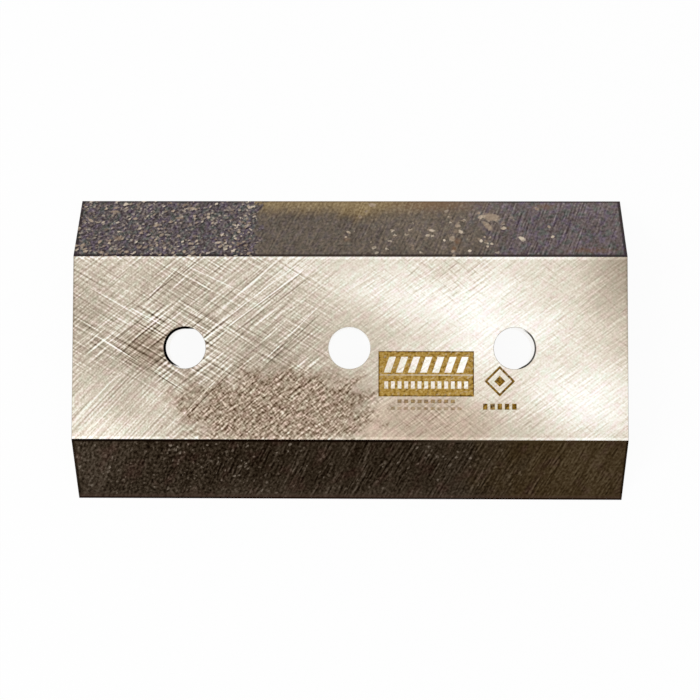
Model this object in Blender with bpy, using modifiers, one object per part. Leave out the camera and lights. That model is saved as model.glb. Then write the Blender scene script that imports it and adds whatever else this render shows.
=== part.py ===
# Brush chipper knife: a flat steel plate ground to a cutting edge along both long sides.
# Metres, +Z up. X runs along the cutting edges and Y across them.
# The origin is the middle of the flat back face, on which the knife lies with its bevels up.

import math

import bmesh
import bpy
from mathutils import Matrix

# Plate
LENGTH = 0.18415  # 7 1/4 in, along the cutting edges
WIDTH = 0.1016  # 4 in, from one cutting edge to the other
THICKNESS = 0.0127  # 1/2 in
END_BREAK = 0.0004  # chamfer on the cross edges at both ends

# Ground edges
BEVEL_ANGLE = math.radians(31.5)  # between a bevel and the back face
EDGE_LAND = 0.00015  # upright flat that honing leaves at the very edge

# Bolt holes, in a row along the middle of the plate
HOLE_COUNT = 3
HOLE_PITCH = 0.0547
HOLE_DIAMETER = 0.0139  # 35/64 in, clears a 1/2 in bolt
HOLE_CHAMFER = 0.0003  # broken rim on both faces
HOLE_FACETS = 72

# How far a cutter reaches past the steel that it takes away
OVERRUN = 0.001

# Edges sharper than this stay crisp beside the smooth hole walls
CREASE_ANGLE = math.radians(30)

# Bright ground steel with a warm cast
STEEL_COLOUR = (0.56, 0.51, 0.44, 1.0)
STEEL_ROUGHNESS = 0.35


def add_collection(name):
    collection = bpy.data.collections.new(name)
    bpy.context.scene.collection.children.link(collection)
    return collection


def ground_steel():
    material = bpy.data.materials.new("ground_steel")
    material.use_nodes = True
    shader = material.node_tree.nodes["Principled BSDF"]
    shader.inputs["Base Color"].default_value = STEEL_COLOUR
    shader.inputs["Metallic"].default_value = 1.0
    shader.inputs["Roughness"].default_value = STEEL_ROUGHNESS
    return material


def add_object(name, bm, collection):
    mesh = bpy.data.meshes.new(name)
    bm.to_mesh(mesh)
    bm.free()
    obj = bpy.data.objects.new(name, mesh)
    collection.objects.link(obj)
    return obj


def mark_as_cutter(obj):
    obj.hide_render = True
    obj.display_type = "WIRE"


def add_blank(collection):
    # Sawn plate on the floor, with the cross edges of its ends broken
    bm = bmesh.new()
    size = Matrix.Diagonal((LENGTH, WIDTH, THICKNESS, 1.0))
    lift = Matrix.Translation((0.0, 0.0, THICKNESS / 2))
    bmesh.ops.create_cube(bm, size=1.0, matrix=lift @ size)
    cross_edges = [edge for edge in bm.edges if is_cross_edge(edge)]
    bmesh.ops.bevel(
        bm, geom=cross_edges, affect="EDGES", offset=END_BREAK, segments=1, profile=0.5, material=-1
    )
    return add_object("chipper_knife", bm, collection)


def is_cross_edge(edge):
    # The four long edges that run across the knife, one pair at each end
    start, end = (vert.co for vert in edge.verts)
    return abs(start.y - end.y) > WIDTH / 2


def add_grind_cutter(name, side, collection):
    # Block whose lower face is the plane of one bevel. Its origin is on the upper rim of the
    # edge land, so the bevel starts there and climbs to its heel at the front face.
    length = LENGTH + 2 * OVERRUN
    depth = THICKNESS + OVERRUN
    reach = (THICKNESS - EDGE_LAND) / math.sin(BEVEL_ANGLE) + depth
    bm = bmesh.new()
    size = Matrix.Diagonal((length, 2 * reach, depth, 1.0))
    lift = Matrix.Translation((0.0, 0.0, depth / 2))
    bmesh.ops.create_cube(bm, size=1.0, matrix=lift @ size)
    cutter = add_object(name, bm, collection)
    cutter.location = (0.0, side * WIDTH / 2, EDGE_LAND)
    cutter.rotation_euler = (-side * BEVEL_ANGLE, 0.0, 0.0)
    mark_as_cutter(cutter)
    return cutter


def add_drill_cutter(name, x, collection):
    # Turned on Z: the hole's wall, flaring at 45 degrees past both faces to break its rims
    radius = HOLE_DIAMETER / 2
    flare = radius + HOLE_CHAMFER + OVERRUN
    top = THICKNESS + OVERRUN
    profile = [
        (0.0, top),
        (flare, top),
        (radius, THICKNESS - HOLE_CHAMFER),
        (radius, HOLE_CHAMFER),
        (flare, -OVERRUN),
        (0.0, -OVERRUN),
    ]
    bm = bmesh.new()
    points = [bm.verts.new((r, 0.0, z)) for r, z in profile]
    for start, end in zip(points, points[1:]):
        bm.edges.new((start, end))
    cutter = add_object(name, bm, collection)
    turn = cutter.modifiers.new("turn", "SCREW")
    turn.axis = "Z"
    turn.steps = HOLE_FACETS
    turn.render_steps = HOLE_FACETS
    turn.use_merge_vertices = True
    turn.merge_threshold = 0.00001
    apply_modifiers(cutter)
    cutter.data.shade_smooth()
    cutter.data.set_sharp_from_angle(angle=CREASE_ANGLE)
    cutter.location.x = x
    mark_as_cutter(cutter)
    return cutter


def apply_modifiers(obj):
    graph = bpy.context.evaluated_depsgraph_get()
    outline = obj.data
    obj.data = bpy.data.meshes.new_from_object(obj.evaluated_get(graph))
    obj.modifiers.clear()
    bpy.data.meshes.remove(outline)


def cut(obj, cutter):
    boolean = obj.modifiers.new(cutter.name, "BOOLEAN")
    boolean.operation = "DIFFERENCE"
    boolean.solver = "EXACT"
    boolean.object = cutter


def build():
    for obj in list(bpy.data.objects):
        bpy.data.objects.remove(obj)
    parts = add_collection("brush_chipper_knife")
    cutters = add_collection("cutters")

    knife = add_blank(parts)
    knife.data.materials.append(ground_steel())

    for name, side in (("grind_far_edge", 1), ("grind_near_edge", -1)):
        cut(knife, add_grind_cutter(name, side, cutters))

    first_x = -HOLE_PITCH * (HOLE_COUNT - 1) / 2
    for index in range(HOLE_COUNT):
        x = first_x + index * HOLE_PITCH
        cut(knife, add_drill_cutter(f"drill_hole_{index + 1}", x, cutters))


build()
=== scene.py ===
import math

import bmesh
import bpy
from mathutils import Euler, Matrix, Vector


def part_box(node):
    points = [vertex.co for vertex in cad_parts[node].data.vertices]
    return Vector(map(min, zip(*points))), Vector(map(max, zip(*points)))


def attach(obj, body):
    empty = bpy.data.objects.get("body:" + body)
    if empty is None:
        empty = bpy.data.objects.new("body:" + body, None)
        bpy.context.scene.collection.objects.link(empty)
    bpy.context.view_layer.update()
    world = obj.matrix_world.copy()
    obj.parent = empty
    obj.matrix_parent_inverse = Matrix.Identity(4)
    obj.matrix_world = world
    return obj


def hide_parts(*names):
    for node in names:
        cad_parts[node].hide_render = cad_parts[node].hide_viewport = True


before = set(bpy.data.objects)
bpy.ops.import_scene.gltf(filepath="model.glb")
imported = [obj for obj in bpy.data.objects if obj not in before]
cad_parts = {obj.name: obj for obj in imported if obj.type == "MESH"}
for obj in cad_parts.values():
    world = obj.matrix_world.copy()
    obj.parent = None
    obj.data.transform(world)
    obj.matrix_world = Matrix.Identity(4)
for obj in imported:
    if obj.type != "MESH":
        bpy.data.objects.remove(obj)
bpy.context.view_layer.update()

mm = 0.001


# Knife

knifeSizes = {
    "frontBand": 60.64 * mm,  # width of the flat front between the two bevels
    "edgeLand": 0.15 * mm,  # upright flat at the very edge
    "holeCount": 3,
    "holePitch": 54.7 * mm,
    "holeDiameter": 13.9 * mm,
    "rimBreak": 0.3 * mm,  # chamfer round both mouths of a hole
    "endBreak": 0.4 * mm,  # chamfer on the cross edges of the ends
    "softening": 0.08 * mm,  # hand-stoned rounding of the other edges, save the cutting edges
    "boreSides": 192,
    "tolerance": 0.01 * mm,  # how near a point is to count as on an edge or a wall
}
zones = ["front", "farBevel", "nearBevel", "ends", "bores", "rims", "back", "rounding"]


def fillOutline(bm, length, width, top, holes):
    # A flat sheet with round holes, at height top
    outline = Matrix.Translation((0, 0, top)) @ Matrix.Diagonal((length, width, 1, 1))
    bmesh.ops.create_grid(bm, x_segments=1, y_segments=1, size=0.5, matrix=outline)
    bmesh.ops.delete(bm, geom=bm.faces[:], context="FACES_ONLY")
    for x in holes:
        place = Matrix.Translation((x, 0, top))
        radius = knifeSizes["holeDiameter"] / 2
        bmesh.ops.create_circle(bm, segments=knifeSizes["boreSides"], radius=radius, matrix=place)
    bmesh.ops.triangle_fill(bm, use_beauty=True, edges=bm.edges[:], normal=(0, 0, 1))


def drawDown(bm, faces, drop, keepTop):
    # Extrudes a sheet straight down and returns the moved faces
    made = bmesh.ops.extrude_face_region(bm, geom=faces, use_keep_orig=keepTop)["geom"]
    points = [item for item in made if isinstance(item, bmesh.types.BMVert)]
    bmesh.ops.translate(bm, verts=points, vec=(0, 0, -drop))
    return [item for item in made if isinstance(item, bmesh.types.BMFace)]


def isRim(edge, holes):
    # An edge of a hole's mouth
    def onWall(vert, x):
        reached = math.hypot(vert.co.x - x, vert.co.y)
        return abs(reached - knifeSizes["holeDiameter"] / 2) < knifeSizes["tolerance"]
    return any(all(onWall(vert, x) for vert in edge.verts) for x in holes)


def breakEdges(bm, edges, offset, segments):
    made = bmesh.ops.bevel(
        bm, geom=edges, affect="EDGES", offset=offset, segments=segments, profile=0.5,
        clamp_overlap=True, material=-1,
    )
    return made["faces"]


def zoneOf(face, high):
    normal, middle = face.normal, face.calc_center_median()
    if abs(normal.z) > 0.95:  # flat
        return "front" if normal.z > 0 else "back"
    if abs(middle.x) > high.x - 2 * knifeSizes["endBreak"]:
        return "ends"
    if abs(middle.y) > knifeSizes["frontBand"] / 2 - mm:
        return "farBevel" if middle.y > 0 else "nearBevel"
    return "rims" if abs(normal.z) > 0.3 else "bores"  # sloping or upright


def modelKnife():
    low, high = (Vector(corner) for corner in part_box("chipper_knife"))
    size = high - low
    first = -knifeSizes["holePitch"] * (knifeSizes["holeCount"] - 1) / 2
    holes = [first + index * knifeSizes["holePitch"] for index in range(knifeSizes["holeCount"])]
    land = knifeSizes["edgeLand"]
    halfBand = knifeSizes["frontBand"] / 2

    bm = bmesh.new()
    fillOutline(bm, size.x, knifeSizes["frontBand"], high.z, holes)
    lower = drawDown(bm, bm.faces[:], size.z - land, keepTop=True)
    for vert in {vert for face in lower for vert in face.verts}:
        if abs(vert.co.y) > halfBand - knifeSizes["tolerance"]:
            vert.co.y = math.copysign(size.y / 2, vert.co.y)  # spreads the sides into the two bevels
    drawDown(bm, lower, land, keepTop=False)
    bmesh.ops.recalc_face_normals(bm, faces=bm.faces[:])
    breakCorners(bm, holes)

    bm.normal_update()
    for face in bm.faces:
        face.material_index = zones.index(zoneOf(face, high))
        face.smooth = zones[face.material_index] in ("bores", "rims")
    softenEdges(bm, size.y / 2)

    mesh = bpy.data.meshes.new("knifeBlade")
    bm.to_mesh(mesh)
    bm.free()
    mesh.set_sharp_from_angle(angle=math.radians(25))
    knife = bpy.data.objects.new("knifeBlade", mesh)
    bpy.context.scene.collection.objects.link(knife)
    return knife


def breakCorners(bm, holes):
    # Chamfers the holes' mouths and the cross edges of the ends
    corner = 1.0  # radians, more than between two facets of a wall
    rims = [edge for edge in bm.edges if isRim(edge, holes) and edge.calc_face_angle(0) > corner]
    breakEdges(bm, rims, knifeSizes["rimBreak"], 1)
    crossEdges = [
        edge for edge in bm.edges
        if abs(edge.verts[0].co.y - edge.verts[1].co.y) > knifeSizes["frontBand"] / 2
        and edge.calc_face_angle(0) > corner
    ]
    breakEdges(bm, crossEdges, knifeSizes["endBreak"], 1)


def softenEdges(bm, halfWidth):
    # Rounds every sharp edge but the cutting edges themselves
    sharp = [
        edge for edge in bm.edges
        if edge.calc_face_angle(0) > math.radians(20)
        and not all(abs(vert.co.y) > halfWidth - knifeSizes["tolerance"] for vert in edge.verts)
    ]
    for face in breakEdges(bm, sharp, knifeSizes["softening"], 2):
        face.smooth = True
        lengthwise = abs(face.normal.x) < 0.1 and abs(face.calc_center_median().y) > 20 * mm
        if lengthwise and face.normal.z > 0.3:  # on the heels of the bevels; their paler finish is partly painted highlight
            face.material_index = zones.index("rounding")


# Material tools

# On a finish, lengths are in millimetres, turns in degrees and tones from 0 to 1 as a screen shows them.
# A noise is given by its turn, length, width and seed, in that order.
steelLook = {
    "roughness": 0.36,
    "reliefDepth": 0.02 * mm,
    "reliefStrength": 0.4,
    "softEdge": 0.06,  # half the soft edge of an etched shape
}


def srgb(red, green, blue):
    def linear(value):
        value /= 255
        return value / 12.92 if value <= 0.04045 else ((value + 0.055) / 1.055) ** 2.4
    return (linear(red), linear(green), linear(blue), 1.0)


def newSteel(name, roughness=steelLook["roughness"]):
    material = bpy.data.materials.new(name)
    material.use_nodes = True
    tree = material.node_tree
    shader = tree.nodes["Principled BSDF"]
    shader.inputs["Metallic"].default_value = 1.0
    shader.inputs["Roughness"].default_value = roughness
    place = tree.nodes.new("ShaderNodeTexCoord")
    feeds = {0: place.outputs["Object"], 1: (1 / mm, 1 / mm, 1 / mm)}
    inMillimetres = addNode(tree, "ShaderNodeVectorMath", feeds, operation="MULTIPLY")
    addNode(tree, "ShaderNodeSeparateXYZ", {0: inMillimetres.outputs[0]}).name = "axes"
    return material, tree, shader


def addNode(tree, kind, feeds, **settings):
    node = tree.nodes.new(kind)
    for name, value in settings.items():
        setattr(node, name, value)
    for socket, value in feeds.items():
        if isinstance(value, bpy.types.NodeSocket):
            tree.links.new(value, node.inputs[socket])
        else:
            node.inputs[socket].default_value = value
    return node


def axis(tree, name):
    return tree.nodes["axes"].outputs["XYZ".index(name)]


def calc(tree, operation, first, second=0.0, third=0.0, clamp=False):
    feeds = {0: first, 1: second, 2: third}
    return addNode(tree, "ShaderNodeMath", feeds, operation=operation, use_clamp=clamp).outputs[0]


def times(tree, first, second):
    return calc(tree, "MULTIPLY", first, second)


def either(tree, first, second):
    return calc(tree, "MAXIMUM", first, second)


def addTo(tree, tone, factor, amount):
    return calc(tree, "MULTIPLY_ADD", factor, amount, tone)


def level(tree, mask, outside, inside):
    # One value where the mask is 0, another where it is 1
    return calc(tree, "MULTIPLY_ADD", mask, inside - outside, outside)


def centred(tree, tone, factor, amount):
    # Adds a noise whose mean is one half, so that the tone stays on the whole as it is
    return addTo(tree, tone, calc(tree, "SUBTRACT", factor, 0.5), amount)


def toward(tree, tone, goal, share):
    # The tone moved to a goal by a share
    return addTo(tree, tone, calc(tree, "SUBTRACT", goal, tone), share)


def placed(tree, centre=(0, 0), turn=0.0, size=(1, 1), plane="XY"):
    # Millimetres from a centre in a plane, turned, and divided by a size
    if plane not in tree.nodes:
        feeds = {0: axis(tree, plane[0]), 1: axis(tree, plane[1])}
        addNode(tree, "ShaderNodeCombineXYZ", feeds).name = plane
    feeds = {
        "Vector": tree.nodes[plane].outputs[0],
        "Location": (centre[0], centre[1], 0),
        "Rotation": (0, 0, math.radians(turn)),
        "Scale": (size[0], size[1], 1),
    }
    return addNode(tree, "ShaderNodeMapping", feeds, vector_type="TEXTURE").outputs[0]


def reach(tree, centre, turn=0.0, size=(1, 1)):
    # The same as two plain numbers, along and across
    def measure(inX, inY, length):
        start = -(centre[0] * inX + centre[1] * inY) / length
        onY = calc(tree, "MULTIPLY_ADD", axis(tree, "Y"), inY / length, start)
        return calc(tree, "MULTIPLY_ADD", axis(tree, "X"), inX / length, onY)
    cosine, sine = math.cos(math.radians(turn)), math.sin(math.radians(turn))
    return measure(cosine, sine, size[0]), measure(-sine, cosine, size[1])


def split(tree, vector):
    return addNode(tree, "ShaderNodeSeparateXYZ", {0: vector}).outputs


def between(tree, value, low, high, smooth=False):
    # 0 at low, 1 at high, held outside
    feeds = {"Value": value, "From Min": low, "From Max": high}
    kind = "SMOOTHSTEP" if smooth else "LINEAR"
    return addNode(tree, "ShaderNodeMapRange", feeds, interpolation_type=kind, clamp=True).outputs[0]


def seeded(seed, aside=(0.0, 0.0)):
    # Where each seed reads the endless noise, moved a little aside
    return (seed * 31.7 + aside[0], seed * -17.3 + aside[1])


def grain(tree, turn, length, width, seed, detail=1.0, plane="XY", aside=0.0):
    # Noise drawn out along one direction, as a grinding wheel leaves it
    across = (aside * math.sin(math.radians(turn)), -aside * math.cos(math.radians(turn)))
    vector = placed(tree, seeded(seed, across), turn, (length, width), plane)
    feeds = {"Vector": vector, "Detail": detail, "Scale": 1.0, "Roughness": 0.5}
    return addNode(tree, "ShaderNodeTexNoise", feeds, noise_dimensions="2D").outputs[0]


def scoring(tree, turn, length, width, seed, plane="XY"):
    # Fine grinding lines, bright beside dark: a drawn-out noise less the same noise a little aside
    line = grain(tree, turn, length, width, seed, plane=plane)
    moved = grain(tree, turn, length, width, seed, plane=plane, aside=0.55 * width)
    return calc(tree, "SUBTRACT", line, moved)


def spot(tree, centre, radii, turn=0.0, core=0.0, ragged=None, raggedness=0.0):
    # 1 inside, fading to 0 at the rim; core is where the fading starts
    along, across = reach(tree, centre, turn, radii)
    distance = calc(tree, "MULTIPLY_ADD", along, along, times(tree, across, across))
    distance = calc(tree, "SQRT", distance)
    if ragged:
        distance = centred(tree, distance, ragged, raggedness)
    return between(tree, distance, 1.0, core, smooth=True)


def spots(tree, tone, places):
    for centre, radii, turn, change in places:
        tone = addTo(tree, tone, spot(tree, centre, radii, turn), change)
    return tone


def bunched(tree, turn, length, width, seed):
    # Long scoring lines that come and go in bunches
    cover = between(tree, grain(tree, turn, 16, 2.6, seed + 0.4), 0.47, 0.64)
    return times(tree, scoring(tree, turn, length, width, seed), cover)


fleckShape = {
    "bend": 0.7,  # how far a noise pulls the outlines about
    "bendScale": 1.6,
    "smallest": 0.16,
    "growth": 0.34,
    "crispness": 7.0,
}


def flecks(tree, turn, length, width, seed, share, aside=(0.0, 0.0)):
    # Scattered flecks of many sizes: how far inside one a point is, and a number of its own for each
    shape = fleckShape
    vector = placed(tree, seeded(seed, aside), turn, (length, width))
    feeds = {"Vector": vector, "Scale": shape["bendScale"], "Detail": 1.0}
    bend = addNode(tree, "ShaderNodeTexNoise", feeds, noise_dimensions="2D").outputs["Color"]
    feeds = {0: bend, 1: (shape["bend"], shape["bend"], 0.0), 2: vector}
    vector = addNode(tree, "ShaderNodeVectorMath", feeds, operation="MULTIPLY_ADD").outputs[0]
    feeds = {"Vector": vector, "Scale": 1.0}
    cell = addNode(tree, "ShaderNodeTexVoronoi", feeds, voronoi_dimensions="2D")
    chance, own, _ = split(tree, cell.outputs["Color"])
    radius = times(tree, between(tree, chance, 1.0 - share, 1.0), shape["growth"])
    present = calc(tree, "GREATER_THAN", chance, 1.0 - share)
    radius = calc(tree, "ADD", radius, times(tree, present, shape["smallest"]))
    inside = calc(tree, "SUBTRACT", radius, cell.outputs["Distance"])
    return calc(tree, "MULTIPLY", inside, shape["crispness"], clamp=True), own


def scratch(tree, start, end, width):
    # A single straight scratch between two points
    middle = ((start[0] + end[0]) / 2, (start[1] + end[1]) / 2)
    turn = math.degrees(math.atan2(end[1] - start[1], end[0] - start[0]))
    size = (math.dist(start, end) / 2, width / 2)
    along, across = reach(tree, middle, turn, size)
    cover = between(tree, calc(tree, "ABSOLUTE", along), 1.0, 0.5, smooth=True)
    return times(tree, cover, between(tree, calc(tree, "ABSOLUTE", across), 1.0, 0.2))


def within(tree, value, half):
    # 1 where a distance is less than half a width
    soft = steelLook["softEdge"]
    return between(tree, calc(tree, "ABSOLUTE", value), half + soft, half - soft)


def block(tree, centre, half, turn=0.0):
    # 1 inside a rectangle
    along, across = reach(tree, centre, turn)
    inX = within(tree, along, half[0])
    return times(tree, inX, within(tree, across, half[1]))


def bars(tree, centre, half, pitch, width, slant=0.0):
    # A row of bars, leaning by a slant
    along, across = reach(tree, centre)
    along = addTo(tree, along, across, slant)
    phase = calc(tree, "PINGPONG", calc(tree, "ADD", along, pitch / 2), pitch / 2)
    row = within(tree, along, half[0])
    row = times(tree, row, within(tree, across, half[1]))
    edge, soft = (pitch - width) / 2, steelLook["softEdge"]
    return times(tree, row, between(tree, phase, edge - soft, edge + soft))


def ramp(tree, factor, stops):
    node = addNode(tree, "ShaderNodeValToRGB", {0: factor})
    elements = node.color_ramp.elements
    while len(elements) < len(stops):
        elements.new(0.5)
    for element, (position, colour) in zip(elements, stops):
        element.position = position
        element.color = srgb(*colour)
    return node.outputs[0]


def mixed(tree, factor, first, second, blend="MIX"):
    feeds = {0: factor, 6: first, 7: second}
    return addNode(tree, "ShaderNodeMix", feeds, data_type="RGBA", blend_type=blend).outputs[2]


def casts(tree, colour, amount, length, width, seed):
    # Patches that lean to pink or to green, as oil and handling leave them
    for turn, cast in ((30, (1.0, 0.88, 0.95, 1.0)), (60, (0.89, 1.0, 0.95, 1.0))):
        seed += 0.5
        share = between(tree, grain(tree, turn, length, width, seed, detail=2), 0.46, 0.72)
        colour = mixed(tree, times(tree, share, amount), colour, cast, "MULTIPLY")
    return colour


def finish(tree, shader, colour, height):
    tree.links.new(colour, shader.inputs["Base Color"])
    depth, strength = steelLook["reliefDepth"], steelLook["reliefStrength"]
    bump = addNode(tree, "ShaderNodeBump", {"Height": height, "Distance": depth, "Strength": strength})
    tree.links.new(bump.outputs[0], shader.inputs["Normal"])


# Ground front

frontFinish = {
    "tone": 0.745,
    "zones": [  # centre, radii, turn, change of tone
        # The first two zones, broad and bright on the right half, paint the highlight of a softbox; the
        # small glow lamp only adds to it
        ((50, 12), (54, 38), 20, 0.22),
        ((82, -18), (30, 26), 0, 0.18),
        ((2, 23), (24, 16), 0, 0.10),
        ((17, 18), (26, 15), 0, 0.08),
        ((94, 28), (26, 24), 0, -0.175),
        ((62, 23), (24, 14), 0, -0.08),
        ((65, -16), (22, 13), 0, 0.07),
        ((33, -24), (13, 8), 0, 0.06),
        ((-82, -26), (28, 15), 0, 0.08),
        ((-90, 11), (18, 20), 0, -0.09),
        ((-76, -2), (20, 12), 0, -0.07),
        ((-67, 0), (12, 11), 10, -0.19),
        ((-56, 21), (24, 10), 0, -0.06),
        ((-49, 7), (14, 9), 0, -0.07),
        ((-58, -10), (25, 12), 0, -0.08),
        ((-50, -21), (18, 12), 0, -0.025),
        ((-20, -8), (28, 9), 0, -0.06),
        ((1, -16), (11, 9), 0, -0.07),
        ((30, -24), (28, 15), 0, -0.105),
        ((-24, 0), (26, 12), 0, -0.10),
        ((-60, 14), (24, 14), 0, -0.03),
        ((-15, -5.6), (12, 3.0), -7, 0.09),
        ((36, 26), (20, 8), 0, -0.02),
        ((29, 4.6), (22, 8), 0, -0.03),
        ((-18, 27), (15, 9), 0, 0.08),
        ((20, 28), (16, 6), 0, 0.05),
        ((62, 14), (28, 9), 0, -0.05),
        ((-62, -15), (13, 9), 0, 0.08),
        ((-73, -20), (14, 9), 0, -0.055),
        ((-28, -21), (22, 9), 0, -0.03),
        ((10, -19), (7, 7), 0, 0.06),
        ((45, -18), (11, 8), 0, 0.05),
        ((-40, 14), (11, 7), 0, -0.03),
        ((50, 11), (12, 9), 0, -0.03),
        ((83, 14), (12, 10), 0, -0.035),
        ((-20, -9), (9, 7), 0, 0.055),
        ((0, -12), (7, 5), 0, 0.04),
        ((53, -24), (13, 8), 0, 0.035),
    ],
    "areas": {  # centre, radii
        "patch": ((-23, -20.5), (43, 17.5)),  # worn, dull and pinkish
        "lower": ((-82, -24), (36, 24)),  # scratches run one way only
        "busy": ((-62, 1), (32, 17)),  # the strongest scratches
        "corner": ((-80, 21), (26, 14)),  # faint and wavy
        "rising": ((-30, 19), (18, 17)),  # few scratches fall to the right
        "crossedFar": ((34, 25), (30, 14)),
        "crossedNear": ((30, -24), (26, 11)),
        "pink": ((22, -26), (34, 14)),
        "stain": ((-67, 0), (11, 10)),
    },
    "leftHalf": (3, -19),  # x where the coarse scratches start and are full
    "patchTone": -0.17,
    "paintedHeelHighlight": (29.25, 29.65, 0.085),  # painted highlight beside both bevels: start, full, change of tone
    "endRims": {  # x from and to, y from and to
        "left": ((-91.3, -91.6), (-4, 8)),
        "right": ((91.2, 91.6), (-12, 8)),
    },
    "endRimTone": -0.09,
    "bareTone": 0.085,  # brightens the steel left bare in the gilt panel
    "grains": [  # turn, length, width, seed, amount on the right half, amount on the left half
        (40, 24, 0.84, 3, 0.06, 0.34),
        (-31, 20, 0.84, 4, 0.04, 0.27),
        (34, 8, 0.80, 5, 0.13, 0.05),
    ],
    "lines": [  # the same, of lines in bunches
        (38, 60, 0.95, 8, 0.06, 0.50),
        (43, 50, 0.90, 9, 0.00, 0.40),
        (-29, 55, 0.95, 14, 0.00, 0.46),
        (-33, 50, 0.90, 15, 0.00, 0.36),
        (32, 60, 0.95, 17, 0.09, 0.00),
        (-43, 24, 0.85, 18, 0.06, 0.06),
    ],
    "crossed": [  # turn, length, width, seed, amount near the far bevel and below the mark
        (-41, 9, 0.84, 27, 0.13),
        (42, 9, 0.84, 28, 0.09),
    ],
    "dark": [  # turn, length, width, seed, amount of dark strokes alone on the right half
        (37, 7.0, 0.88, 31, 0.75),
        (-38, 7.0, 0.88, 32, 0.60),
    ],
    "steep": [  # turn, length, width, seed, amount at the lower left
        (47, 30, 0.88, 6, 0.30),
        (46, 60, 0.88, 19, 0.26),
    ],
    "patchStrokes": [(42, 2.7, 0.85, 25, 0.58), (-44, 2.1, 0.85, 26, 0.40)],
    "bold": [  # start, end, width, change of tone
        ((-49, 0.5), (-11.5, 28.8), 0.62, 0.26),
        ((-50, 2.8), (-16, 29.0), 0.60, 0.24),
        ((-47, 1.6), (-13, 27.0), 0.60, -0.20),
        ((-33, 8.5), (-10, 26.0), 0.55, -0.20),
        ((-30, -6), (-9, 15), 0.55, 0.20),
        ((-29, -7), (-8, 13), 0.55, -0.22),
        ((-88, 6.2), (-49, -17.6), 0.62, 0.28),
        ((-86, 6.4), (-58, -10.5), 0.55, 0.22),
        ((-80, 2.0), (-52, -16.6), 0.60, -0.26),
        ((-90, 22.0), (-58, 3.6), 0.55, 0.22),
        ((-74, 13.8), (-60.5, 6.6), 0.70, 0.32),
        ((-72, 11.8), (-61.5, 5.8), 0.60, -0.28),
        ((-60, 17.4), (-32, 0.5), 0.55, 0.16),
        ((-60, 18.1), (-40, 6.4), 0.55, -0.24),
        ((-56, 28.0), (-32, 16.8), 0.55, 0.18),
        ((-70, 13.0), (-54, 29.0), 0.55, -0.22),
        ((-69, 14.4), (-56, 28.0), 0.50, 0.20),
        ((-58, -27), (-34, -2.5), 0.60, -0.22),
        ((-59.5, -27), (-36, -2.2), 0.55, 0.20),
        ((-92, -25), (-72, -4), 0.55, 0.16),
    ],
    "tones": [
        (0.20, (66, 52, 39)), (0.40, (113, 100, 85)), (0.59, (163, 150, 132)), (0.68, (185, 172, 155)),
        (0.745, (201, 190, 172)), (0.81, (220, 210, 194)), (0.87, (235, 229, 216)),
        (0.91, (244, 240, 231)), (0.95, (251, 249, 243)), (0.99, (255, 254, 251)),
    ],
    "pinkTones": [
        (0.20, (68, 48, 30)), (0.36, (108, 89, 70)), (0.45, (132, 113, 94)),
        (0.53, (151, 132, 113)), (0.60, (169, 151, 132)), (0.68, (188, 170, 151)),
        (0.75, (205, 187, 167)), (0.83, (227, 208, 188)), (0.95, (246, 238, 226)),
    ],
}


def frontMasks(tree, patch):
    # Where the scratches are coarse, strong, faint, or run one way
    areas = frontFinish["areas"]
    border = addTo(tree, axis(tree, "X"), axis(tree, "Y"), 0.15)
    border = centred(tree, border, grain(tree, 38, 16, 7, 21, detail=2), 16)
    left = between(tree, border, *frontFinish["leftHalf"], smooth=True)
    lower = spot(tree, *areas["lower"], core=0.4)
    busy = spot(tree, *areas["busy"], core=0.3)
    clouds = between(tree, grain(tree, 0, 11, 8, 7, detail=2), 0.3, 0.7)
    vigour = addTo(tree, level(tree, clouds, 0.7, 1.2), busy, 0.5)
    corner = spot(tree, *areas["corner"])
    vigour = addTo(tree, vigour, corner, -0.42)
    vigour = times(tree, vigour, level(tree, patch, 1.0, 0.3))
    oneWay = level(tree, lower, 1.0, 0.1)
    steady = spot(tree, *areas["rising"], core=0.3)
    falling = times(tree, level(tree, steady, 1.0, 0.45), oneWay)
    rising = times(tree, level(tree, steady, 1.0, 1.15), oneWay)
    return {
        "patch": patch, "left": left, "lower": lower, "corner": corner,
        "vigour": vigour, "falling": falling, "rising": rising,
    }


def scratchAmount(tree, masks, turn, onRight, onLeft):
    # How strong one set of scratches is, by its direction and by the half it is on
    way = masks["falling"] if turn < 0 else masks["rising"]
    return times(tree, addTo(tree, onRight, masks["left"], onLeft - onRight), way)


def groundScratches(tree, masks):
    # All grinding marks: the grains that the relief follows, then those with the rest on top
    relief = 0.0
    for turn, length, width, seed, onRight, onLeft in frontFinish["grains"]:
        amount = scratchAmount(tree, masks, turn, onRight, onLeft)
        relief = addTo(tree, relief, scoring(tree, turn, length, width, seed), amount)
    texture = relief
    for turn, length, width, seed, onRight, onLeft in frontFinish["lines"]:
        amount = scratchAmount(tree, masks, turn, onRight, onLeft)
        texture = addTo(tree, texture, bunched(tree, turn, length, width, seed), amount)
    crossed = times(tree, spot(tree, *frontFinish["areas"]["crossedNear"]), 1.4)
    crossed = either(tree, spot(tree, *frontFinish["areas"]["crossedFar"]), crossed)
    for turn, length, width, seed, amount in frontFinish["crossed"]:
        amount = times(tree, crossed, amount)
        texture = addTo(tree, texture, scoring(tree, turn, length, width, seed), amount)
    strokes = times(tree, level(tree, masks["left"], 1.0, 0.0), addTo(tree, 0.31, crossed, 0.25))
    for turn, length, width, seed, amount in frontFinish["dark"]:
        dark = calc(tree, "ADD", scoring(tree, turn, length, width, seed), 0.11)
        dark = calc(tree, "MINIMUM", dark, 0.0)
        texture = addTo(tree, texture, times(tree, dark, strokes), amount)
    for turn, length, width, seed, amount in frontFinish["steep"]:
        amount = times(tree, masks["lower"], amount)
        texture = addTo(tree, texture, scoring(tree, turn, length, width, seed), amount)
    return relief, times(tree, texture, masks["vigour"])


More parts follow.
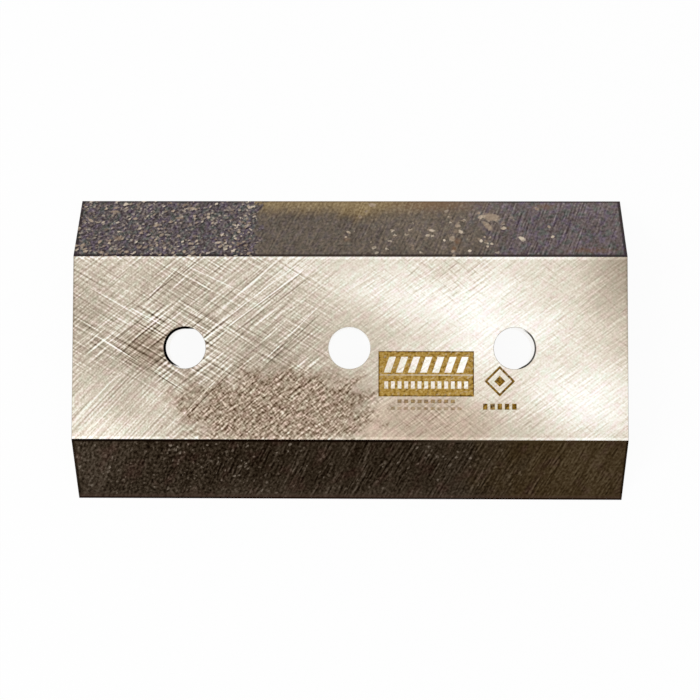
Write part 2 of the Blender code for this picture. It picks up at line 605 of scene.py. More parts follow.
def addStrokes(tree, texture, masks):
    # Single bold scratches, the patch's short strokes and a fine mottle
    for start, end, width, change in frontFinish["bold"]:
        texture = addTo(tree, texture, scratch(tree, start, end, width), change)
    for turn, length, width, seed, amount in frontFinish["patchStrokes"]:
        amount = times(tree, masks["patch"], amount)
        texture = addTo(tree, texture, scoring(tree, turn, length, width, seed), amount)
    amount = addTo(tree, times(tree, masks["patch"], 0.55), masks["corner"], 0.24)
    texture = centred(tree, texture, grain(tree, 35, 2.0, 1.2, 12, detail=2), amount)
    return centred(tree, texture, grain(tree, 0, 0.7, 0.7, 13), level(tree, masks["left"], 0.14, 0.26))


def pastLines(tree, inX, inY):
    # 1 past one line in x and another in y
    return times(tree, between(tree, axis(tree, "X"), *inX), between(tree, axis(tree, "Y"), *inY))


def frontLines(tree, tone):
    # The painted highlight beside both bevels and the dark rims at the upper ends
    start, full, change = frontFinish["paintedHeelHighlight"]
    # A brighter band along each heel: painted highlight
    heel = between(tree, calc(tree, "ABSOLUTE", axis(tree, "Y")), start, full)
    tone = addTo(tree, tone, heel, change)
    rim = pastLines(tree, *frontFinish["endRims"]["left"])
    rim = addTo(tree, rim, pastLines(tree, *frontFinish["endRims"]["right"]), 0.7)
    return addTo(tree, tone, rim, frontFinish["endRimTone"])


def groundFront():
    material, tree, shader = newSteel("groundFront")
    areas = frontFinish["areas"]
    # The zones bring in the painted highlight on the right half of the front
    tone = spots(tree, frontFinish["tone"], frontFinish["zones"])
    edge = grain(tree, 40, 6, 4, 2, detail=3)
    patch = spot(tree, *areas["patch"], core=0.5, ragged=edge, raggedness=0.8)
    tone = addTo(tree, tone, patch, frontFinish["patchTone"])
    tone = centred(tree, tone, grain(tree, 20, 9, 6, 1, detail=3), 0.06)

    masks = frontMasks(tree, patch)
    relief, texture = groundScratches(tree, masks)
    tone = calc(tree, "ADD", tone, addStrokes(tree, texture, masks))
    held = calc(tree, "MINIMUM", tone, calc(tree, "MULTIPLY_ADD", tone, 0.4, 0.525))
    tone = toward(tree, tone, held, masks["left"])  # scratches stay cream there
    tone = frontLines(tree, tone)
    tone = addTo(tree, tone, block(tree, *etchPlan["field"]), frontFinish["bareTone"])

    pink = either(tree, patch, spot(tree, *areas["pink"], core=0.4))
    stain = times(tree, spot(tree, *areas["stain"], core=0.3), 0.6)
    pink = either(tree, pink, stain)
    plain = ramp(tree, tone, frontFinish["tones"])
    colour = mixed(tree, pink, plain, ramp(tree, tone, frontFinish["pinkTones"]))
    colour = casts(tree, colour, 0.55, 3.6, 2.2, 101)
    colour = mixed(tree, etching(tree), colour, amber(tree))
    finish(tree, shader, colour, relief)
    return material


# Gilt mark, etched into the front

etchPlan = {  # centre and half size, then a row's pitch, bar width and slant, or a square's turn
    "panel": ((25.4, -8.5), (15.8, 7.5)),
    "field": ((25.4, -8.5), (15.4, 7.1)),
    "bars": ((25.4, -5.5), (13.6, 2.6), 4.0, 2.2, -0.35),
    "blocks": ((25.4, -12.2), (14.1, 1.2), 2.2, 1.25),
    "dashes": ((25.4, -17.6), (9.9, 0.6), 2.2, 1.4),
    "faintDashes": ((25.4, -20.0), (12.0, 0.5), 2.2, 1.4),
    "divider": ((25.4, -8.9), (15.4, 0.22)),
    "square": ((49.7, -10.9), (3.6, 3.6), 45),
    "inside": ((49.7, -10.9), (2.85, 2.85), 45),
    "core": ((49.7, -10.9), (1.3, 1.3), 45),
    "short": ((49.7, -19.3), (5.7, 1.0), 2.4, 1.5),
    "tones": [
        (0.10, (70, 46, 6)), (0.32, (120, 90, 28)), (0.47, (160, 126, 58)),
        (0.62, (176, 146, 80)), (0.80, (208, 184, 134)), (0.92, (232, 216, 184)),
    ],
}


def etching(tree):
    # A gilt panel with bars and blocks left bare in it, dashes under it and a small square beside it
    mask = block(tree, *etchPlan["panel"])
    bare = either(tree, bars(tree, *etchPlan["bars"]), bars(tree, *etchPlan["blocks"]))
    bare = either(tree, bare, times(tree, block(tree, *etchPlan["divider"]), 0.35))
    mask = calc(tree, "SUBTRACT", mask, bare)
    square = calc(tree, "SUBTRACT", block(tree, *etchPlan["square"]), block(tree, *etchPlan["inside"]))
    mask = either(tree, mask, square)
    mask = either(tree, mask, block(tree, *etchPlan["core"]))
    mask = either(tree, mask, times(tree, bars(tree, *etchPlan["dashes"]), 0.75))
    mask = either(tree, mask, times(tree, bars(tree, *etchPlan["faintDashes"]), 0.45))
    mask = either(tree, mask, bars(tree, *etchPlan["short"]))
    worn = between(tree, grain(tree, 33, 1.6, 0.8, 41, detail=3), 0.28, 0.42)
    return times(tree, mask, level(tree, worn, 0.80, 1.0))


def amber(tree):
    # Dark at the panel's rim, and darker outside it
    tone = centred(tree, 0.29, grain(tree, 0, 1.0, 0.8, 42, detail=2), 0.75)
    panel = block(tree, *etchPlan["panel"])
    rim = calc(tree, "SUBTRACT", panel, block(tree, *etchPlan["field"]))
    tone = addTo(tree, tone, rim, -0.24)
    tone = addTo(tree, tone, panel, 0.20)
    tone = centred(tree, tone, grain(tree, 33, 6, 1.0, 43), 0.20)
    return ramp(tree, tone, etchPlan["tones"])


# Far bevel

bevelRoughness = 0.42
farFinish = {
    "tones": {
        "scaled": [
            (0.12, (36, 28, 30)), (0.22, (65, 56, 55)), (0.29, (79, 70, 70)), (0.36, (96, 87, 88)),
            (0.43, (114, 105, 103)), (0.52, (137, 127, 120)), (0.65, (172, 162, 150)),
        ],
        "middle": [
            (0.12, (40, 31, 24)), (0.29, (83, 73, 65)), (0.36, (99, 90, 80)),
            (0.41, (111, 99, 87)), (0.48, (128, 115, 100)), (0.60, (153, 139, 125)),
        ],
        "right": [
            (0.12, (38, 29, 29)), (0.27, (78, 67, 65)), (0.33, (93, 82, 80)),
            (0.39, (108, 96, 95)), (0.46, (126, 114, 112)), (0.60, (161, 149, 143)),
        ],
        "gold": [
            (0.15, (66, 48, 22)), (0.37, (111, 92, 64)), (0.45, (131, 112, 82)),
            (0.52, (148, 129, 97)), (0.62, (170, 151, 118)),
        ],
        "tan": [
            (0.36, (106, 90, 78)), (0.50, (142, 124, 108)),
            (0.62, (174, 156, 136)), (0.78, (214, 200, 180)),
        ],
        "plum": [
            (0.12, (37, 27, 37)), (0.29, (82, 70, 86)), (0.43, (118, 105, 121)), (0.65, (176, 161, 170)),
        ],
        "cool": [
            (0.12, (28, 30, 27)), (0.29, (68, 74, 68)), (0.43, (102, 109, 102)), (0.65, (160, 166, 150)),
        ],
    },
    # The far bevel's dark base tone is partly the steel's dark scale and partly painted reflection of
    # dark surroundings; its flecks, rust and casts are the steel's own
    "tone": 0.372,
    "stretches": {  # x where each starts and is full
        "scaled": (-30.5, -32.5),
        "right": (38, 60),
    },
    "gilt": ((46, 6), (43.5, 51.0)),  # x, y where the gilt along the edge starts and is full
    "lines": {  # where each starts and is full, in y, and at the cut ends in x
        "upper": (44.5, 48.5),
        "heel": (31.30, 31.05),
        "edge": (50.15, 50.35),
        "rightCut": (91.0, 91.3),
        "leftCut": (-90.9, -91.2),
    },
    "areas": {  # centre, radii
        "bright": ((26, 43), (26, 16)),
        "goldest": ((3, 46), (11, 13)),
        "thick": ((-37, 38), (9, 14)),  # small flecks lie thick
        "strays": ((30, 38), (44, 12)),
    },
    "casts": [  # tones, then turn, length, width and seed of the noise, and where it starts and is full
        ("plum", (50, 2.8, 1.8, 35), 0.48, 0.66),
        ("cool", (40, 2.8, 2.0, 36), 0.50, 0.68),
    ],
    "flecks": {  # turn, length, width, seed, share of places that have one
        "large": (22, 2.1, 1.15, 31, 0.44),
        "small": (-25, 1.5, 0.95, 32, 0.46),
        "stray": (20, 2.0, 1.5, 33, 0.12),
    },
    "shadeAside": (0.4, -0.45),  # the dark side of each large fleck
    "shadeColour": (46, 38, 44),
    "rust": [  # centre, radii, strength
        ((36.0, 36.0), (1.9, 1.5), 0.6),
        ((34.8, 33.2), (1.5, 1.6), 0.6),
        ((80.0, 32.7), (13.0, 1.5), 0.4),
        ((-1.0, 36.6), (1.6, 1.2), 0.4),
        ((30.0, 49.8), (22.0, 4.0), 0.45),
        ((66.0, 48.6), (6.0, 1.8), 0.4),
        ((53.4, 40.6), (1.3, 0.9), 0.45),
    ],
    "rustColour": (126, 92, 66),
    "flakes": [  # centre, radii, turn, tone
        ((47.5, 44.8), (4.3, 1.7), -10, 0.56),
        ((44.6, 45.0), (1.6, 0.9), 25, 0.66),
        ((46.6, 41.4), (2.6, 1.15), -48, 0.56),
        ((51.8, 40.7), (1.2, 0.75), 0, 0.70),
        ((57.5, 37.0), (1.3, 0.75), -20, 0.80),
        ((63.5, 48.0), (0.9, 0.6), -30, 0.55),
        ((67.0, 41.3), (0.6, 0.6), 0, 0.62),
        ((68.0, 37.6), (0.7, 0.65), 20, 0.76),
        ((43.9, 36.1), (0.75, 0.75), 0, 0.80),
        ((45.2, 37.5), (0.5, 0.5), 0, 0.62),
        ((46.1, 35.2), (0.5, 0.55), 0, 0.70),
        ((47.5, 35.0), (0.6, 0.55), 0, 0.74),
        ((46.0, 34.1), (0.6, 0.5), 0, 0.66),
        ((39.9, 32.5), (0.7, 0.6), 0, 0.80),
        ((43.7, 46.3), (0.7, 0.6), 0, 0.58),
        ((36.3, 41.6), (1.2, 0.75), -10, 0.58),
        ((37.3, 39.4), (1.3, 0.7), -15, 0.70),
        ((34.2, 36.9), (1.3, 1.1), -5, 0.58),
        ((31.6, 36.3), (0.6, 0.6), 0, 0.80),
        ((34.3, 32.4), (0.8, 0.6), 30, 0.60),
        ((27.6, 39.9), (1.2, 0.55), -8, 0.72),
        ((26.2, 38.1), (0.9, 0.55), 0, 0.68),
        ((21.0, 34.4), (0.6, 0.5), 0, 0.52),
        ((7.5, 49.4), (1.7, 0.9), -10, 0.56),
        ((5.4, 47.0), (0.8, 0.5), 15, 0.50),
        ((3.4, 45.0), (0.7, 0.6), 0, 0.52),
        ((-0.5, 39.2), (0.9, 0.45), -35, 0.62),
        ((-1.4, 37.5), (0.6, 0.5), 0, 0.66),
        ((-80.5, 46.8), (1.9, 0.55), 0, 0.54),
        ((-80.3, 48.2), (1.0, 0.5), 0, 0.54),
        ((-88.3, 43.6), (1.4, 0.6), -38, 0.58),
        ((-78.0, 36.8), (1.5, 0.9), 10, 0.47),
        ((-84.0, 35.6), (1.0, 0.7), 35, 0.58),
        ((-65.6, 41.8), (1.2, 0.7), 15, 0.58),
        ((-53.8, 48.0), (1.9, 0.55), -12, 0.62),
        ((-48.2, 44.7), (0.75, 0.7), 0, 0.66),
        ((-46.6, 42.6), (0.5, 0.5), 0, 0.64),
        ((-44.0, 35.4), (1.3, 0.55), 10, 0.66),
        ((-34.7, 48.6), (1.0, 0.6), -35, 0.70),
        ((-58.0, 44.4), (1.9, 0.45), 0, 0.52),
        ((-57.6, 37.8), (0.8, 0.5), 20, 0.60),
        ((-55.2, 32.1), (0.75, 0.7), 0, 0.62),
        ((-64.6, 34.4), (0.5, 0.7), 0, 0.60),
        ((-61.8, 33.4), (0.6, 0.6), 0, 0.66),
        ((-73.1, 44.2), (0.9, 0.6), 0, 0.58),
        ((-74.6, 32.0), (0.9, 0.6), 10, 0.58),
        ((-83.0, 31.8), (1.2, 0.6), 0, 0.52),
        ((-89.6, 34.4), (1.2, 0.6), 35, 0.56),
        ((-40.0, 34.0), (0.6, 0.6), 0, 0.68),
    ],
}


def farTone(tree, mottle, scaled, middle, rightEnd):
    # The tone of the steel, and by itself the fine texture that is part of it
    x, y, lines = axis(tree, "X"), axis(tree, "Y"), farFinish["lines"]
    streaks = scoring(tree, 66, 8, 0.80, 22)
    fine = grain(tree, 0, 0.95, 0.9, 25)
    # Dark base tone: partly painted reflection of dark surroundings, partly dark scale
    tone = addTo(tree, farFinish["tone"], scaled, -0.030)
    tone = centred(tree, tone, grain(tree, 60, 9, 5, 26, detail=2), 0.09)
    blotches = grain(tree, 55, 3.4, 1.7, 38, detail=2)
    tone = centred(tree, tone, blotches, level(tree, scaled, 0.11, 0.02))
    tone = addTo(tree, tone, spot(tree, *farFinish["areas"]["bright"]), 0.038)

    amount = addTo(tree, 0.22, scaled, -0.10)
    amount = addTo(tree, amount, rightEnd, 0.08)
    amount = addTo(tree, amount, between(tree, x, 1, -7, smooth=True), -0.05)
    amount = times(tree, amount, between(tree, grain(tree, 62, 8, 4, 29), 0.3, 0.65))
    texture = times(tree, streaks, amount)
    texture = centred(tree, texture, mottle, level(tree, scaled, 0.27, 0.58))
    texture = centred(tree, texture, fine, 0.19)
    tone = calc(tree, "ADD", tone, texture)

    upper = between(tree, y, *lines["upper"], smooth=True)
    upper = times(tree, upper, level(tree, scaled, 1.0, 0.35))
    tone = addTo(tree, tone, upper, 0.035)
    heel = between(tree, y, *lines["heel"])
    tone = toward(tree, tone, 0.16, times(tree, heel, 0.85))
    edge = between(tree, y, *lines["edge"])
    edge = times(tree, edge, level(tree, middle, 0.90, 0.35))
    tone = toward(tree, tone, 0.24, edge)
    rightCut = between(tree, x, *lines["rightCut"])
    cutEnds = calc(tree, "ADD", rightCut, between(tree, x, *lines["leftCut"]))
    tone = toward(tree, tone, 0.16, times(tree, cutEnds, 0.85))
    return tone, texture


def farColour(tree, tone, scaled, middle, rightEnd):
    # The steel of each stretch, with plum and cool casts and gilt along the middle of the edge
    tones = farFinish["tones"]
    colour = mixed(tree, scaled, ramp(tree, tone, tones["middle"]), ramp(tree, tone, tones["scaled"]))
    colour = mixed(tree, rightEnd, colour, ramp(tree, tone, tones["right"]))
    stained = level(tree, middle, 0.68, 0.18)
    for name, noise, start, full in farFinish["casts"]:
        cast = between(tree, grain(tree, *noise, detail=2), start, full)
        cast = times(tree, cast, stained)
        colour = mixed(tree, cast, colour, ramp(tree, tone, tones[name]))
    towardEdge = centred(tree, axis(tree, "Y"), grain(tree, 60, 7, 3, 27, detail=2), 4)
    towardEdge = addTo(tree, towardEdge, spot(tree, *farFinish["areas"]["goldest"]), 3.0)
    inX, inY = farFinish["gilt"]
    gold = times(tree, between(tree, towardEdge, *inY, smooth=True), middle)
    gold = times(tree, gold, between(tree, axis(tree, "X"), *inX, smooth=True))
    return mixed(tree, gold, colour, ramp(tree, addTo(tree, tone, gold, 0.09), tones["gold"]))


def farFlakes(tree, colour, texture, mottle, scaled):
    # Rust, then the pale scale: scattered flecks, and the flakes that are placed one by one
    areas, kinds = farFinish["areas"], farFinish["flecks"]
    for centre, radii, strength in farFinish["rust"]:
        rusty = times(tree, spot(tree, centre, radii, ragged=mottle, raggedness=1.0), strength)
        colour = mixed(tree, rusty, colour, srgb(*farFinish["rustColour"]))
    large, ownLarge = flecks(tree, *kinds["large"])
    crowd = between(tree, grain(tree, 10, 8, 5, 39, detail=2), 0.36, 0.58)
    large = times(tree, large, level(tree, crowd, 0.30, 1.0))
    small, _ = flecks(tree, *kinds["small"])
    shade, _ = flecks(tree, *kinds["large"], aside=farFinish["shadeAside"])
    shade = times(tree, shade, times(tree, scaled, 0.75))
    colour = mixed(tree, shade, colour, srgb(*farFinish["shadeColour"]))
    small = times(tree, small, level(tree, spot(tree, *areas["thick"]), 0.45, 1.0))
    specks = times(tree, either(tree, large, small), scaled)
    speckTone = level(tree, calc(tree, "POWER", ownLarge, 1.4), 0.49, 0.88)
    stray, _ = flecks(tree, *kinds["stray"])
    stray = times(tree, stray, times(tree, spot(tree, *areas["strays"], core=0.5), 0.7))
    specks = either(tree, specks, stray)
    ragged = grain(tree, 25, 1.1, 0.8, 34, detail=2)
    for centre, radii, turn, flakeTone in farFinish["flakes"]:
        flake = spot(tree, centre, radii, turn, core=0.5, ragged=ragged, raggedness=0.9)
        specks = either(tree, specks, flake)
        speckTone = toward(tree, speckTone, flakeTone, flake)
    tan = ramp(tree, addTo(tree, speckTone, texture, 0.6), farFinish["tones"]["tan"])
    return mixed(tree, times(tree, specks, 0.92), colour, tan)


def farBevel():
    material, tree, shader = newSteel("farBevel", bevelRoughness)
    stretches = farFinish["stretches"]
    border = centred(tree, axis(tree, "X"), grain(tree, 0, 3, 3, 24, detail=3), 14)
    scaled = between(tree, border, *stretches["scaled"])
    border = centred(tree, axis(tree, "X"), grain(tree, 64, 14, 5, 28, detail=2), 24)
    rightEnd = between(tree, border, *stretches["right"], smooth=True)
    middle = calc(tree, "SUBTRACT", 1.0, scaled)
    middle = calc(tree, "SUBTRACT", middle, rightEnd, clamp=True)
    mottle = grain(tree, 40, 1.0, 0.8, 21, detail=2)
    tone, texture = farTone(tree, mottle, scaled, middle, rightEnd)
    colour = farColour(tree, tone, scaled, middle, rightEnd)
    colour = farFlakes(tree, colour, texture, mottle, scaled)
    finish(tree, shader, colour, mottle)
    return material


# Near bevel

nearFinish = {
    # The near bevel's near-black base tone is partly the steel's dark scale and partly painted
    # reflection of dark surroundings; its streaks, flecks and red tints are the steel's own
    "tone": 0.147,
    "stretches": {  # x where each starts and is full
        "left": (-20, -50),
        "right": (30, 66),
    },
    "lines": {  # where each starts and is full, in y, and at the cut ends in x
        "heel": (-31.3, -31.0),
        "pale": (-48.7, -49.4),
        "edge": (-50.15, -50.35),
        "rightCut": (91.2, 91.5),
        "leftCut": (-91.0, -91.3),
    },
    "zones": [  # centre, radii, turn, change of tone
        ((-90, -40), (26, 18), 0, 0.06),
        ((80, -40), (46, 26), 0, 0.070),
        ((-38, -37), (28, 10), 0, -0.025),
        ((34, -42), (26, 16), 0, 0.020),
        ((-15, -49), (90, 6), 0, 0.030),
        ((48, -38), (14, 14), 0, 0.013),
    ],
    "dust": (40, 1.6, 1.1, 57, 0.16),  # turn, length, width, seed, share of places that have a fleck
    "specks": (55, 1.2, 0.9, 60, 0.20),
    "speckled": ((-46, -38), (34, 16)),
    "black": [
        (0.03, (14, 6, 2)), (0.055, (21, 12, 5)), (0.10, (33, 24, 14)),
        (0.135, (42, 33, 23)), (0.17, (51, 42, 31)), (0.205, (61, 51, 40)),
        (0.25, (72, 62, 51)), (0.31, (87, 77, 66)), (0.42, (120, 110, 98)),
    ],
    "olive": [
        (0.03, (16, 9, 3)), (0.14, (46, 34, 17)), (0.165, (53, 40, 22)),
        (0.205, (63, 50, 31)), (0.247, (74, 61, 42)), (0.30, (87, 74, 54)),
    ],
    "red": [(0.05, (26, 10, 6)), (0.17, (58, 39, 32)), (0.30, (92, 72, 62))],
}


def nearTexture(tree, leftEnd, rightEnd):
    # Diagonal streaks, mottle and pale flecks, calmer toward the right end, and the mottle by itself
    cover = between(tree, grain(tree, 62, 9, 5, 59), 0.3, 0.65)
    cover = times(tree, cover, level(tree, leftEnd, 0.33, 0.15))
    texture = times(tree, scoring(tree, 62, 6, 0.82, 52), cover)
    mottle = grain(tree, 45, 1.15, 0.8, 53, detail=2)
    texture = centred(tree, texture, mottle, level(tree, leftEnd, 0.24, 0.39))
    texture = centred(tree, texture, grain(tree, 0, 0.9, 0.85, 56), 0.17)
    texture = times(tree, texture, level(tree, rightEnd, 1.0, 0.78))
    dust, own = flecks(tree, *nearFinish["dust"])
    dust = times(tree, dust, level(tree, rightEnd, 1.0, 0.25))
    texture = addTo(tree, texture, times(tree, dust, own), 0.21)
    specks, own = flecks(tree, *nearFinish["specks"])
    specks = times(tree, specks, spot(tree, *nearFinish["speckled"], core=0.2))
    return addTo(tree, texture, times(tree, specks, own), 0.30), mottle


def nearLines(tree, tone):
    # Dark along the heel, the cut ends and the very edge, with a paler line beside the edge
    x, y, lines = axis(tree, "X"), axis(tree, "Y"), nearFinish["lines"]
    dark = level(tree, between(tree, x, 15, 35), 0.01, 0.19)
    tone = toward(tree, tone, dark, times(tree, between(tree, y, *lines["heel"]), 0.9))
    rightCut = between(tree, x, *lines["rightCut"])
    leftCut = times(tree, between(tree, x, *lines["leftCut"]), 0.8)
    cutEnds = calc(tree, "ADD", rightCut, leftCut)
    tone = toward(tree, tone, 0.05, times(tree, cutEnds, 0.85))
    tone = toward(tree, tone, 0.225, times(tree, between(tree, y, *lines["pale"]), 0.5))
    return toward(tree, tone, 0.03, times(tree, between(tree, y, *lines["edge"]), 0.9))


def nearBevel():
    material, tree, shader = newSteel("nearBevel", bevelRoughness)
    x, y = axis(tree, "X"), axis(tree, "Y")
    stretches = nearFinish["stretches"]
    border = centred(tree, x, grain(tree, 0, 9, 7, 54), 30)
    leftEnd = between(tree, border, *stretches["left"], smooth=True)
    border = centred(tree, x, grain(tree, 62, 9, 7, 55), 30)
    rightEnd = between(tree, border, *stretches["right"], smooth=True)
    tone = spots(tree, nearFinish["tone"], nearFinish["zones"])
    tone = centred(tree, tone, grain(tree, 65, 16, 3.4, 51, detail=2), 0.115)
    texture, mottle = nearTexture(tree, leftEnd, rightEnd)
    tone = calc(tree, "ADD", tone, texture)
    tone = nearLines(tree, tone)
    # This near-black ramp carries the painted reflection of dark surroundings as well as the steel's
    # dark scale
    black = ramp(tree, tone, nearFinish["black"])
    colour = mixed(tree, rightEnd, black, ramp(tree, tone, nearFinish["olive"]))
    red = between(tree, grain(tree, 50, 8, 5, 58, detail=2), 0.55, 0.75)
    red = either(tree, red, between(tree, y, -49.2, -49.8))
    tint = ramp(tree, tone, nearFinish["red"])
    colour = mixed(tree, times(tree, red, 0.5), colour, tint)
    finish(tree, shader, colour, mottle)
    return material


# Drilled bores

holeStep = knifeSizes["holePitch"] / mm
boreFinish = {
    "holes": [  # middle, and which way the side with the painted highlight lies from it
        (-holeStep, 160),
        (0.0, 105),
        (holeStep, 15),
    ],
    "mouth": 12.7,  # height of the front face
    # The black side, a painted shadow: its way and where it starts, how black the rim and the wall are,
    # the way that it is deepest, and its depth, in millimetres below the mouth times millimetres off the
    # middle
    "black": [
        {
            "middle": -holeStep, "way": 150, "start": 1.6, "rim": 0.95, "wall": 1.0,
            "deepest": 165, "depth": 31,
        },
        {
            "middle": holeStep, "way": -15, "start": 3.5, "rim": 0.60, "wall": 0.88,
            "deepest": 19, "depth": 22,
        },
    ],
    "paintedShadowColour": (7, 5, 4),
    "paintedWallHighlight": (248, 246, 242),
    "tones": [(0.3, (78, 72, 66)), (0.5, (128, 121, 112)), (0.7, (178, 171, 161))],
}


def offMiddle(tree, middle, way):
    # Millimetres off the middle of one hole, along one way
    inX, inY = math.cos(math.radians(way)), math.sin(math.radians(way))
    onX = calc(tree, "MULTIPLY_ADD", axis(tree, "X"), inX, -middle * inX)
    return addTo(tree, onX, axis(tree, "Y"), inY)


def sideOfHole(tree, middle, way, start, soft):
    # 1 on the side of one hole that lies a given way from its middle
    inHole = calc(tree, "COMPARE", axis(tree, "X"), middle, 10.0)  # nearer than that to it
    side = between(tree, offMiddle(tree, middle, way), start - soft, start + soft)
    return times(tree, side, inHole)


def paintedShadowRims(tree):
    # Painted shadow, black, on the rim chamfers beside the shadowed side of the outer two holes
    mask = 0.0
    for hole in boreFinish["black"]:
        side = sideOfHole(tree, hole["middle"], hole["way"], hole["start"], 0.8)
        mask = addTo(tree, mask, side, hole["rim"])
    return mask


def drilledBores():
    # Dull and ringed by the drill, with a painted highlight on one side, and painted shadow, black, next
    # to the mouth of the outer two
    material, tree, shader = newSteel("drilledBores")
    shader.inputs["Specular IOR Level"].default_value = 0.0
    rings = grain(tree, 0, 30, 0.5, 61, plane="XZ")
    dull = ramp(tree, centred(tree, 0.55, rings, 0.30), boreFinish["tones"])
    # A near-white side on each wall is a painted highlight, the wall lit bright
    paintedWallHighlight = 0.0
    for middle, way in boreFinish["holes"]:
        paintedWallHighlight = calc(tree, "ADD", paintedWallHighlight, sideOfHole(tree, middle, way, -1.0, 1.2))
    colour = mixed(tree, paintedWallHighlight, dull, srgb(*boreFinish["paintedWallHighlight"]))

    # Painted shadow: black on the wall next to the mouth of the outer two holes, deeper toward the sides
    below = calc(tree, "SUBTRACT", boreFinish["mouth"], axis(tree, "Z"))
    black = 0.0
    for hole in boreFinish["black"]:
        deep = times(tree, below, offMiddle(tree, hole["middle"], hole["deepest"]))
        mouth = between(tree, deep, hole["depth"] + 2, hole["depth"] - 2)
        side = sideOfHole(tree, hole["middle"], hole["way"], hole["start"] - 1.2, 1.0)
        black = addTo(tree, black, times(tree, side, mouth), hole["wall"])
    colour = mixed(tree, black, colour, srgb(*boreFinish["paintedShadowColour"]))
    tree.links.new(calc(tree, "SUBTRACT", 1.0, black), shader.inputs["Metallic"])
    tree.links.new(level(tree, black, 0.12, 0.72), shader.inputs["Roughness"])
    tree.links.new(colour, shader.inputs["Base Color"])
    return material


# Ends, back and stoned edges

endFinish = {
    "tone": 0.58,
    "brokenTone": 0.40,
    "broken": (92.06, 91.9),  # x where the broken cross edge is full and where it ends
    "tones": [
        (0.2, (58, 52, 47)), (0.45, (118, 111, 102)), (0.6, (158, 151, 141)), (0.8, (202, 196, 186)),
    ],
}


def sawnEnds():
    material, tree, shader = newSteel("sawnEnds", roughness=0.4)
    x = calc(tree, "ABSOLUTE", axis(tree, "X"))
    broken = between(tree, x, *endFinish["broken"])
    lines = scoring(tree, 86, 9, 0.5, 71, plane="YZ")
    tone = addTo(tree, endFinish["tone"], lines, 0.22)
    tone = centred(tree, tone, grain(tree, 86, 4, 1.6, 73, plane="YZ"), 0.10)
    tone = centred(tree, tone, grain(tree, 0, 8, 5, 72, detail=3, plane="YZ"), 0.12)
    tone = toward(tree, tone, endFinish["brokenTone"], times(tree, broken, 0.9))
    finish(tree, shader, ramp(tree, tone, endFinish["tones"]), lines)
    return material


backTone = 0.72


def groundBack():
    material, tree, shader = newSteel("groundBack")
    lines = grain(tree, 3, 40, 1.0, 81)
    cross = grain(tree, -38, 22, 1.2, 82)
    tone = centred(tree, backTone, lines, 0.22)
    tone = centred(tree, tone, cross, 0.10)
    tone = centred(tree, tone, grain(tree, 0, 24, 14, 83, detail=3), 0.16)
    finish(tree, shader, ramp(tree, tone, frontFinish["tones"]), lines)
    return material


def stonedEdges(name, tone, black=None):
    material, tree, shader = newSteel(name, roughness=0.3)
    nicks = grain(tree, 40, 2.0, 1.0, 91, detail=2)
    colour = ramp(tree, centred(tree, tone, nicks, 0.30), frontFinish["tones"])
    if black:
        colour = mixed(tree, black(tree), colour, srgb(*boreFinish["paintedShadowColour"]))
    finish(tree, shader, colour, nicks)
    return material


knife = modelKnife()
print("knife modelled:", len(knife.data.polygons), "faces")
finishes = {
    "front": groundFront(),
    "farBevel": farBevel(),
    "nearBevel": nearBevel(),
    "ends": sawnEnds(),
    "bores": drilledBores(),
    # The rim chamfers carry the bores' painted shadow
    "rims": stonedEdges("brokenRims", 0.80, paintedShadowRims),
    "back": groundBack(),
    # The rounded heels are real, and their tone, paler than the front's, is a painted highlight along
    # them
    "rounding": stonedEdges("stonedEdges", 0.88),
}
for zone in zones:
    knife.data.materials.append(finishes[zone])
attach(knife, "root")
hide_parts("chipper_knife")
print("knife finished:", len(finishes), "materials")


# Camera

cameraPlace = {
    "lens": 65.24,  # millimetres
    "sensor": 36,  # width in millimetres
    "location": (6.02 * mm, -16.53 * mm, 432.53 * mm),
    "turns": (2.164, 0.790, 0.157),  # degrees
}


def addCamera():
    data = bpy.data.cameras.new("camera")
    data.lens = cameraPlace["lens"]
    data.sensor_width = cameraPlace["sensor"]
    data.clip_start = 10 * mm
    camera = bpy.data.objects.new("camera", data)
    camera.location = cameraPlace["location"]
    camera.rotation_euler = Euler([math.radians(turn) for turn in cameraPlace["turns"]])
    bpy.context.scene.collection.objects.link(camera)
    bpy.context.scene.camera = camera


# Floor, world and lamps

studio = {
    "floorSize": 6.0,
    "floorDrop": 0.05 * mm,  # keeps the floor clear of the knife's back
    "floorWhite": 0.94,  # how much of the floor is plain white to the camera; the rest takes the shadow
    "ambient": 0.65,
    "lamps": [  # name, place, size, power
        ("keySoftbox", (-1.1, -0.35, 0.8), 0.7, 6.5),
        ("glowSoftbox", (0.22, 0.06, 0.95), 0.5, 0.12),
    ],
}


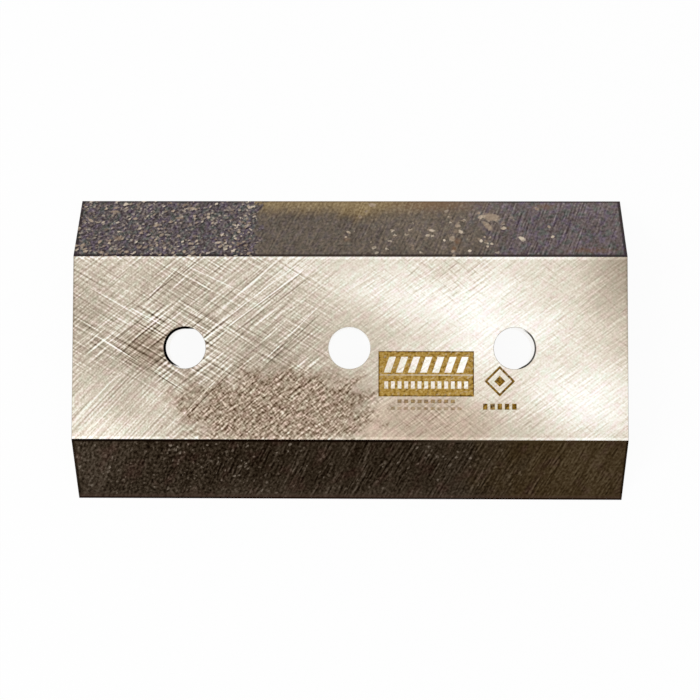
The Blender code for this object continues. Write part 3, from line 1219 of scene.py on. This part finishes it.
def seenDirectly(tree):
    # 1 for rays from the camera, off steel and through glass
    path = tree.nodes.new("ShaderNodeLightPath").outputs
    seen = either(tree, path["Is Camera Ray"], path["Is Glossy Ray"])
    return either(tree, seen, path["Is Transmission Ray"])


def addFloor():
    bm = bmesh.new()
    bmesh.ops.create_grid(bm, x_segments=1, y_segments=1, size=studio["floorSize"] / 2)
    mesh = bpy.data.meshes.new("floor")
    bm.to_mesh(mesh)
    bm.free()
    floor = bpy.data.objects.new("floor", mesh)
    floor.location.z = -studio["floorDrop"]
    bpy.context.scene.collection.objects.link(floor)
    material = bpy.data.materials.new("paleFloor")
    material.use_nodes = True
    tree = material.node_tree
    tree.nodes.clear()
    paint = addNode(tree, "ShaderNodeBsdfDiffuse", {"Color": (1, 1, 1, 1)})
    glow = addNode(tree, "ShaderNodeEmission", {"Color": (1, 1, 1, 1), "Strength": 1.0})
    share = times(tree, seenDirectly(tree), studio["floorWhite"])
    mix = addNode(tree, "ShaderNodeMixShader", {0: share, 1: paint.outputs[0], 2: glow.outputs[0]})
    output = tree.nodes.new("ShaderNodeOutputMaterial")
    tree.links.new(mix.outputs[0], output.inputs["Surface"])
    mesh.materials.append(material)


def addWorld():
    world = bpy.data.worlds.new("studio")
    bpy.context.scene.world = world
    world.use_nodes = True
    tree = world.node_tree
    tree.nodes.clear()
    strength = level(tree, seenDirectly(tree), studio["ambient"], 1.0)
    background = addNode(tree, "ShaderNodeBackground", {"Color": (1, 1, 1, 1), "Strength": strength})
    output = tree.nodes.new("ShaderNodeOutputWorld")
    tree.links.new(background.outputs[0], output.inputs["Surface"])


def addLamp(name, place, size, power):
    data = bpy.data.lights.new(name, "AREA")
    data.size = size
    data.energy = power
    lamp = bpy.data.objects.new(name, data)
    lamp.location = place
    lamp.rotation_euler = (-Vector(place)).to_track_quat("-Z", "Y").to_euler()
    bpy.context.scene.collection.objects.link(lamp)


addCamera()
addFloor()
addWorld()
for lamp in studio["lamps"]:
    addLamp(*lamp)
bpy.context.scene.view_settings.view_transform = "Standard"
print("studio ready")
